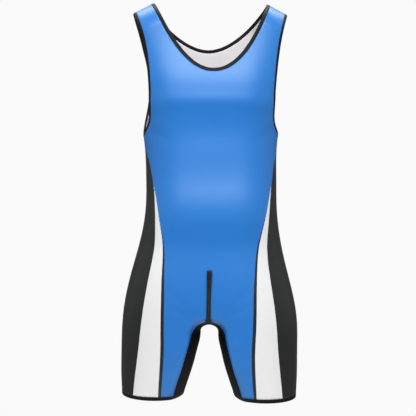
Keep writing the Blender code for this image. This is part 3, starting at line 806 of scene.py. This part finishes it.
def scatter(name, shape, places, axes, numbers=None):
    """One mesh with a copy of the shape at each place, turned so that its own three axes
    are the given ones: point = place + x * first + y * second + z * third. A number given
    for each copy is stored on all its points."""
    points, faces = shape
    turned = places[:, None] + np.einsum("pk,nkc->npc", points, axes)
    first = np.arange(len(places))[:, None, None] * len(points)
    numbers = {key: np.repeat(values, len(points)) for key, values in (numbers or {}).items()}
    return add_mesh(name, posed(turned).reshape(-1, 3), (faces + first).reshape(-1, 4), None, numbers)


def line_frames(line, normal):
    ahead = unit(np.gradient(line, axis=0))
    side = unit(np.cross(ahead, normal))
    return np.stack([side, unit(np.cross(side, ahead)), ahead], axis=1)


def evenly(line, step, start=0.0):
    """Points at even steps along an open line. Columns after x, y and z are carried along."""
    steps = np.linalg.norm(np.diff(line[:, :3], axis=0), axis=1)
    reach = np.concatenate([[0], np.cumsum(steps)])
    at = np.arange(start, reach[-1], step)
    return np.stack([np.interp(at, reach, column) for column in line.T], axis=-1)


def coil_turns():
    middle = tape[:, ZIP_ACROSS // 2]
    places, axes = [], []
    for side, start in ((1, COIL_PITCH), (-1, 1.5 * COIL_PITCH)):
        line = evenly(middle, COIL_PITCH, start)
        frames = line_frames(line, form_normal(line))
        out = TAPE_WALL / 2 + 0.3 * COIL_SIZE[1]
        places.append(line + frames[:, 0] * side * COIL_ASIDE + frames[:, 1] * out)
        axes.append(frames)
    return np.concatenate(places), np.concatenate(axes)


zip_coil = scatter("zip_coil", bead(COIL_SIZE), *coil_turns())
print("coil", len(zip_coil.data.polygons) // (BEAD_TURNS * BEAD_LEVELS), "turns")

# %% [markdown]
# The pull tab is stamped from sheet metal and painted: an outline with round ends, narrower
# at the top, and a window for the slider's bridge. A filled two-dimensional curve with a small
# bevel gives the outline and the hole at once, and then becomes a mesh.

# %% Pull tab
tab_low, tab_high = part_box("zip_pull_tab")
TAB_SEGMENTS = 40
TAB_EDGE = 0.00018
WINDOW_SIZE = (0.0026, 0.0030)
WINDOW_DROP = 0.0008  # from the hinge axis to the window's upper edge


def rounded_outline(width, top, foot, waist, power):
    """A closed outline: |cos|^power across and |sin|^power along, drawn in by the waist's
    share towards the top."""
    turn = np.linspace(0, 2 * math.pi, TAB_SEGMENTS, endpoint=False)
    up = signed_power(np.sin(turn), power)
    across = signed_power(np.cos(turn), power) * width / 2 * (1 - waist * (up + 1) / 2)
    return np.column_stack([across, (top + foot) / 2 + up * (top - foot) / 2])


def add_pull_tab():
    width, depth = tab_high.x - tab_low.x, tab_high.y - tab_low.y
    hinge = frame["joints"][0]["pos_m"]
    curve = bpy.data.curves.new("tab_outline", "CURVE")
    curve.dimensions = "2D"
    curve.fill_mode = "BOTH"
    curve.extrude = depth / 2 - TAB_EDGE
    curve.bevel_depth = TAB_EDGE
    curve.offset = -TAB_EDGE
    curve.bevel_resolution = 2
    window_top = hinge[2] - WINDOW_DROP
    outlines = (
        rounded_outline(width, tab_high.z, tab_low.z, 0.18, 0.35),
        rounded_outline(WINDOW_SIZE[0], window_top, window_top - WINDOW_SIZE[1], 0, 0.3),
    )
    for outline in outlines:
        line = curve.splines.new("POLY")
        line.use_cyclic_u = True
        line.points.add(len(outline) - 1)
        for point, (x, z) in zip(line.points, outline):
            point.co = (x, z, 0, 1)
    guide = bpy.data.objects.new("tab_outline", curve)
    bpy.context.scene.collection.objects.link(guide)
    mesh = bpy.data.meshes.new_from_object(guide.evaluated_get(bpy.context.evaluated_depsgraph_get()))
    bpy.data.objects.remove(guide)
    co = np.empty(len(mesh.vertices) * 3, np.float32)
    mesh.vertices.foreach_get("co", co)
    x, z, y = co.reshape(-1, 3).T
    mesh.vertices.foreach_set("co", np.stack([x + hinge[0], hinge[1] - y, z], axis=-1).ravel())
    mesh.update()
    tab = bpy.data.objects.new("pull_tab", mesh)
    bpy.context.scene.collection.objects.link(tab)
    return tab


pull_tab = add_pull_tab()
print("pull tab", len(pull_tab.data.polygons), "faces")

# %% [markdown]
# ## Stitches
#
# A coverstitch leaves two rows of short threads beside each seam. Each thread is a grain
# that dips into the cloth at both ends, a shape of a few faces, laid along the row and
# repeated by arrays. The rows run beside the bindings, along the side seams, beside the
# gusset, over the hems and in a box round the zip.

# %% Stitch rows
STITCH_PITCH, STITCH_LENGTH, STITCH_RADIUS = 0.0030, 0.0023, 0.00024
ROW_ASIDE = (0.0014, 0.0040)  # from the seam to each of the two rows
ZIP_BOX = 0.0107  # from the middle of the zip, and from its top, to the stitches round it
FAR_FROM_SEAM = 0.2  # more than any band of the print reaches
GRAIN_TURNS, GRAIN_LEVELS = 6, 4


def grain():
    """A thread: round section, thick in the middle, its ends bent down into the cloth."""
    level = np.linspace(-1, 1, GRAIN_LEVELS + 1)[:, None]
    turn = np.linspace(0, 2 * math.pi, GRAIN_TURNS, endpoint=False)
    thick = STITCH_RADIUS * np.sqrt(1.02 - level**2)
    x = thick * np.cos(turn)
    y = thick * np.sin(turn) + STITCH_RADIUS * (0.6 - 1.6 * level**2)
    z = level * STITCH_LENGTH / 2 + 0 * turn
    points = np.stack([x, y, z], axis=-1)
    return points.reshape(-1, 3), quads(numbered(points, (0, 1)), -1)


def beside(grid, column, aside):
    """The line on a half panel at a distance from one of its edges, measured on the cloth
    along the rows. A fourth column holds how far it is from the side seam."""
    reach = run_along(grid, 1)
    from_seam = reach[:, -1] - aside if column == 0 else np.full(len(grid), aside)
    if column == -1:
        reach = reach[:, -1:] - reach
        grid, reach = grid[:, ::-1], reach[:, ::-1]
    near = np.array([np.searchsorted(row, aside) for row in reach]).clip(1, grid.shape[1] - 1)
    rows = np.arange(len(grid))
    share = (aside - reach[rows, near - 1]) / (reach[rows, near] - reach[rows, near - 1])
    line = grid[rows, near - 1] + (grid[rows, near] - grid[rows, near - 1]) * share[:, None]
    return np.column_stack([line, from_seam])


def across_cloth(x, z, face, beyond=0.0):
    """The line through places (x, z) that ends at the side seam, or beyond metres from it."""
    line = clothed(on_form(x, z, face), face)
    reach = run_along(line[None], 1)[0]
    return np.column_stack([line, reach[-1] - reach + beyond])


def stitch_lines():
    """Every row of stitches on the blue cloth, as lines of points on its middle surface."""
    lines = []
    underarm = STRAP_ROWS + CHEST_ROWS
    for half, face in ((front_half, "front"), (back_half, "back")):
        for aside in ROW_ASIDE:
            lines += [
                beside(half, 0, aside)[:STRAP_ROWS],
                beside(half, -1, aside)[: underarm + 1],
                beside(half, -1, aside)[underarm + 1 :],
                beside(half, 0, aside)[-LEG_ROWS:],
            ]
            z = HEM_HEIGHT + aside
            shares = np.linspace(0, 1, HALF_COLUMNS)
            inner, outer = gusset_seam(np.array([1.0]))[0, 0], form("side", z)
            x = inner + (outer - inner) * np.sin(shares * math.pi / 2)
            lines.append(across_cloth(x, np.full_like(x, z), face))
    box_z = np.linspace(ZIP_TOP + ZIP_BOX, CROTCH_HEIGHT + GUSSET_RIM, 60)
    lines.append(across_cloth(np.full(60, ZIP_BOX), box_z, "front", FAR_FROM_SEAM))
    box_x = np.linspace(0, ZIP_BOX, 12)
    lines.append(across_cloth(box_x, np.full(12, ZIP_TOP + ZIP_BOX), "front", FAR_FROM_SEAM))
    return lines


def add_stitches(name, lines):
    """The threads are dyed with the cloth, so each keeps where it is in the print's bands."""
    places, axes, seam = [], [], []
    for line in lines:
        line = evenly(line, STITCH_PITCH, STITCH_PITCH / 2)
        if len(line) < 2:
            continue
        normal = form_normal(line[:, :3])
        for mirror in (1, -1):
            turned = line[:, :3] * (mirror, 1, 1)
            frames = line_frames(turned, normal * (mirror, 1, 1))
            places.append(turned + frames[:, 1] * CLOTH / 2)
            axes.append(frames)
            seam.append(line[:, 3])
    places, axes, seam = (np.concatenate(parts) for parts in (places, axes, seam))
    numbers = {key: inside_band(key, seam, places[:, 2]) for key in BANDS}
    return scatter(name, grain(), places, axes, numbers)


stitches = add_stitches("stitches", stitch_lines())
print("stitches", len(stitches.data.polygons) // (GRAIN_TURNS * GRAIN_LEVELS))

# %% [markdown]
# ## Shader sums as Python
#
# Node trees are long to read. A small class stands for a socket and makes a Math node when it
# is added, subtracted, multiplied or divided, so a pattern reads like a formula.

# %% A socket that can be reckoned with
class Value:
    def __init__(self, finish, socket):
        self.finish, self.socket = finish, socket

    def math(self, operation, *others):
        values = dict(enumerate((self, *others)))
        return self.finish.node("ShaderNodeMath", {"operation": operation}, values)

    def __add__(self, other):
        return self.math("ADD", other)

    def __radd__(self, other):
        return self.math("ADD", other)

    def __sub__(self, other):
        return self.math("SUBTRACT", other)

    def __rsub__(self, other):
        return self.finish.node("ShaderNodeMath", {"operation": "SUBTRACT"}, {0: other, 1: self})

    def __mul__(self, other):
        return self.math("MULTIPLY", other)

    def __rmul__(self, other):
        return self.math("MULTIPLY", other)

    def __truediv__(self, other):
        return self.math("DIVIDE", other)

    def sine(self):
        return self.math("SINE")

    def clamped(self):
        return self.finish.node("ShaderNodeClamp", {}, {0: self})


class Finish:
    """A material with one Principled shader. node() adds any node: its settings are set
    first, then its sockets get values or links."""

    def __init__(self, name, roughness, **fixed):
        self.material = bpy.data.materials.new(name)
        self.material.use_nodes = True
        self.tree = self.material.node_tree
        self.shader = self.tree.nodes["Principled BSDF"]
        self.set(Roughness=roughness, **fixed)

    def node(self, kind, settings, values, output=0):
        made = self.tree.nodes.new(kind)
        for key, value in settings.items():
            setattr(made, key, value)
        for key, value in values.items():
            self.feed(made.inputs[key], value)
        return Value(self, made.outputs[output])

    def feed(self, socket, value):
        if isinstance(value, Value):
            self.tree.links.new(value.socket, socket)
        else:
            socket.default_value = value

    def set(self, **values):
        for key, value in values.items():
            self.feed(self.shader.inputs[key.replace("_", " ")], value)

    def number(self, name):
        return self.node("ShaderNodeAttribute", {"attribute_name": name}, {}, "Fac")

    def cloth_place(self):
        """Across and along the cloth, in metres, from its UV map."""
        uv = self.node("ShaderNodeUVMap", {"uv_map": "cloth"}, {})
        parts = self.tree.nodes.new("ShaderNodeSeparateXYZ")
        self.feed(parts.inputs[0], uv)
        return Value(self, parts.outputs[0]), Value(self, parts.outputs[1])

    def noise(self, scale, detail=2.0):
        place = self.node("ShaderNodeTexCoord", {}, {}, "Object")
        return self.node("ShaderNodeTexNoise", {}, {"Vector": place, "Scale": scale, "Detail": detail})

    def mix(self, share, first, second):
        values = {"Factor": share, 6: first, 7: second}
        return self.node("ShaderNodeMix", {"data_type": "RGBA"}, values, 2)

    def shaded(self, colour, tone):
        """Base Color: the colour times a number that varies a little."""
        values = {0: colour[:3], "Scale": tone}
        shade = self.node("ShaderNodeVectorMath", {"operation": "SCALE"}, values)
        self.set(Base_Color=shade)
        return shade

    def bump(self, height, depth, strength=1.0):
        values = {"Height": height, "Distance": depth, "Strength": strength}
        self.set(Normal=self.node("ShaderNodeBump", {}, values))


# %% [markdown]
# ## The knit
#
# Stretch knit is rows of tiny loops, about a dozen to the centimetre. Two sine waves, one
# along each direction of the UV map, make their ribs, and a wide faint noise keeps the colour
# from being dead flat. The filament is bright, so the knit has a wide soft highlight, with a
# faint tint. The printed panel mixes its bands over the blue by the numbers stored on its
# points.

# %% Knit finishes
BLUE = (0.0105, 0.157, 0.525, 1)
KNIT_BLACK = (0.0040, 0.0040, 0.0044, 1)
PRINT_BLACK = (0.0060, 0.0038, 0.0058, 1)  # a little red, which the gloss tint makes neutral
PRINT_WHITE = (0.740, 0.735, 0.742, 1)
INSIDE_GREY = (0.625, 0.608, 0.628, 1)
WHITE = (1, 1, 1, 1)
GLOSS_TINT = (0.86, 1.0, 0.91, 1)  # less red and blue, so highlights on the blue lean to cyan
WALE, COURSE = 0.00085, 0.00065
PRINT_EDGE = 0.0004
KNIT_DEPTH = 0.00001


def knit_height(finish):
    across, along = finish.cloth_place()
    wale = (across * (2 * math.pi / WALE)).sine()
    course = (along * (2 * math.pi / COURSE)).sine()
    return wale * 0.6 + course * 0.4


def cloth_finish(name, colour, roughness=0.42, gloss=0.75, tint=GLOSS_TINT):
    finish = Finish(name, roughness, Specular_IOR_Level=gloss, Specular_Tint=tint)
    finish.colour = finish.shaded(colour, finish.noise(9.0) * 0.06 + 0.97)
    finish.bump(knit_height(finish), KNIT_DEPTH)
    return finish


def printed(finish, base):
    """The finish with the bands mixed over its own colour, one after another."""
    colours = {"white": PRINT_WHITE, "black_line": PRINT_BLACK, "side_black": PRINT_BLACK}
    for key, colour in colours.items():
        share = (finish.number(key) / PRINT_EDGE + 0.5).clamped()
        base = finish.mix(share, base, colour)
    finish.set(Base_Color=base)
    return finish


blue_knit = cloth_finish("blue_printed_knit", BLUE)
printed(blue_knit, blue_knit.colour)
inside_knit = cloth_finish("inside_knit", INSIDE_GREY, 0.75, 0.30, WHITE)
black_knit = cloth_finish("black_knit", KNIT_BLACK, 0.60, 0.08, WHITE)

# %% [markdown]
# Elastic is woven tighter, with fine ribs across its length. The zip's tape is a herringbone
# too fine to show, so it takes a close twill, and its coil and tab are smooth and a little
# glossy. The threads are the blue of the cloth, a shade darker.

# %% Other finishes
ELASTIC = (0.0056, 0.0052, 0.0055, 1)
RIB, RIB_DEPTH = 0.0011, 0.00008
TWILL, TWILL_DEPTH = 0.0009, 0.00006


def elastic_finish():
    finish = Finish("black_elastic", 0.5, Specular_IOR_Level=0.16)
    around, along = finish.cloth_place()
    ribs = (along * (2 * math.pi / RIB)).sine()
    threads = (around * (4 * math.pi / RIB)).sine()
    finish.shaded(ELASTIC, finish.noise(40.0) * 0.3 + 0.85)
    finish.bump(ribs * 0.7 + threads * 0.3, RIB_DEPTH)
    return finish


def tape_finish():
    finish = Finish("black_zip_tape", 0.7, Sheen_Weight=0.04)
    across, along = finish.cloth_place()
    twill = ((across + along) * (2 * math.pi / TWILL)).sine()
    finish.shaded(KNIT_BLACK, twill * 0.15 + 0.95)
    finish.bump(twill, TWILL_DEPTH)
    return finish


def hard_finish(name, colour, roughness, grain_depth):
    finish = Finish(name, roughness, Specular_IOR_Level=0.3)
    speckle = finish.noise(900.0)
    finish.set(Base_Color=colour, Roughness=speckle * 0.12 + (roughness - 0.06))
    finish.bump(speckle, grain_depth)
    return finish


black_elastic = elastic_finish()
zip_tape_finish = tape_finish()
zip_nylon = hard_finish("black_nylon", (0.014, 0.014, 0.015, 1), 0.42, 0.00001)
zip_paint = hard_finish("black_paint", (0.012, 0.012, 0.013, 1), 0.38, 0.00002)
THREAD_BLUE = (0.010, 0.145, 0.480, 1)
thread = printed(hard_finish("dyed_thread", THREAD_BLUE, 0.65, 0.00002), THREAD_BLUE)

# %% [markdown]
# ## Putting it together
#
# Each piece takes its finishes, stands for its node of the imported model and rides on the body
# that carries it.

# %% Dress and hang each piece
def finish_piece(piece, finishes, node, body="garment"):
    piece.data.materials.clear()
    for finish in finishes:
        piece.data.materials.append(finish.material)
    if node:
        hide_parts(node)
    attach(piece, body)


finish_piece(front_cloth, (blue_knit, inside_knit), "front_panel")
finish_piece(back_cloth, (blue_knit, inside_knit), "back_panel")
finish_piece(gusset_cloth, (black_knit, black_knit), "inner_leg_gusset")
finish_piece(neck_edge, (black_elastic,), "neck_binding")
for name in ("left", "right"):
    finish_piece(armhole_edges[name], (black_elastic,), f"armhole_binding_{name}")
    finish_piece(leg_edges[name], (black_elastic,), f"leg_band_{name}")
finish_piece(zip_tape, (zip_tape_finish,), "zip_strip")
finish_piece(zip_coil, (zip_nylon,), None)
finish_piece(pull_tab, (zip_paint,), "zip_pull_tab", "pull_tab")
finish_piece(stitches, (thread,), None)
slider = frame["nodes"]["zip_slider"]
slider.data.materials.clear()
slider.data.materials.append(zip_paint.material)

# %% [markdown]
# The flat cut of each panel is a little smaller than what shows, because the knit is stretched
# on the form.

# %% [markdown]
# ## Studio
#
# The garment is held up well above a plain pale floor. A long level strip light above eye
# height is mirrored softly by any cloth that faces up a little, so the swells show as bands
# of light and shade right across the front. A small key overhead adds to that, weak square
# lights fill the sides, and a broad light high up behind is for the back. The world gives
# the even rest; what the camera sees of it is the pale grey of a lit wall.

# %% Floor
FLOOR_HEIGHT, FLOOR_RADIUS = -1.45, 1.2
FLOOR_RINGS, FLOOR_TURNS = 24, 96


def add_floor():
    """A disc: rings of points at even steps of radius."""
    turn = np.linspace(0, 2 * math.pi, FLOOR_TURNS + 1)
    radius = np.linspace(0.001, FLOOR_RADIUS, FLOOR_RINGS)[:, None]
    x, y = radius * np.cos(turn), radius * np.sin(turn)
    points = np.stack([x, y, np.full_like(x, FLOOR_HEIGHT)], axis=-1)
    return add_mesh("floor", points.reshape(-1, 3), quads(numbered(points)))


floor = add_floor()
pale = Finish("pale_floor", 0.9, Base_Color=(0.60, 0.60, 0.60, 1))
pale.set(Emission_Color=(1, 1, 1, 1), Emission_Strength=0.07)
floor.data.materials.append(pale.material)

# %% Lights
LIGHTS = (  # name, place, aim, width and height, watts
    ("key", (0.0, -1.1, 2.3), (0.0, 0.0, -0.40), (1.4, 1.4), 18.0),
    ("strip", (0.0, -2.2, 1.1), (0.0, 0.0, -0.40), (4.8, 0.5), 124.0),
    ("left_fill", (2.6, 0.0, 0.5), (0.0, 0.0, -0.40), (3.2, 3.2), 9.0),
    ("right_fill", (-2.6, 0.0, 0.5), (0.0, 0.0, -0.40), (3.2, 3.2), 9.0),
    ("back_light", (0.0, 1.3, 2.4), (0.0, 0.0, -0.40), (4.8, 1.4), 120.0),
)


def add_light(name, place, aim, size, watts):
    """An oblong area light; its own -Z axis is turned towards the aim and its X stays level."""
    light = bpy.data.lights.new(name, "AREA")
    light.shape = "RECTANGLE"
    light.size, light.size_y = size
    light.energy = watts
    lamp = bpy.data.objects.new(name, light)
    bpy.context.scene.collection.objects.link(lamp)
    lamp.location = place
    x, y, z = np.subtract(aim, place)
    lamp.rotation_euler = (math.atan2(math.hypot(x, y), -z), 0, math.atan2(-x, y))


for row in LIGHTS:
    add_light(*row)

# %% World
WORLD_LIGHT, WALL_LIGHT = 0.15, 0.955

world = bpy.data.worlds.new("studio")
world.use_nodes = True
tree = world.node_tree
path = tree.nodes.new("ShaderNodeLightPath")
level = tree.nodes.new("ShaderNodeMapRange")
level.inputs["To Min"].default_value = WORLD_LIGHT
level.inputs["To Max"].default_value = WALL_LIGHT
tree.links.new(path.outputs["Is Camera Ray"], level.inputs["Value"])
tree.links.new(level.outputs["Result"], tree.nodes["Background"].inputs["Strength"])
tree.nodes["Background"].inputs["Color"].default_value = (1, 1, 1, 1)
bpy.context.scene.world = world
bpy.context.scene.view_settings.view_transform = "Standard"
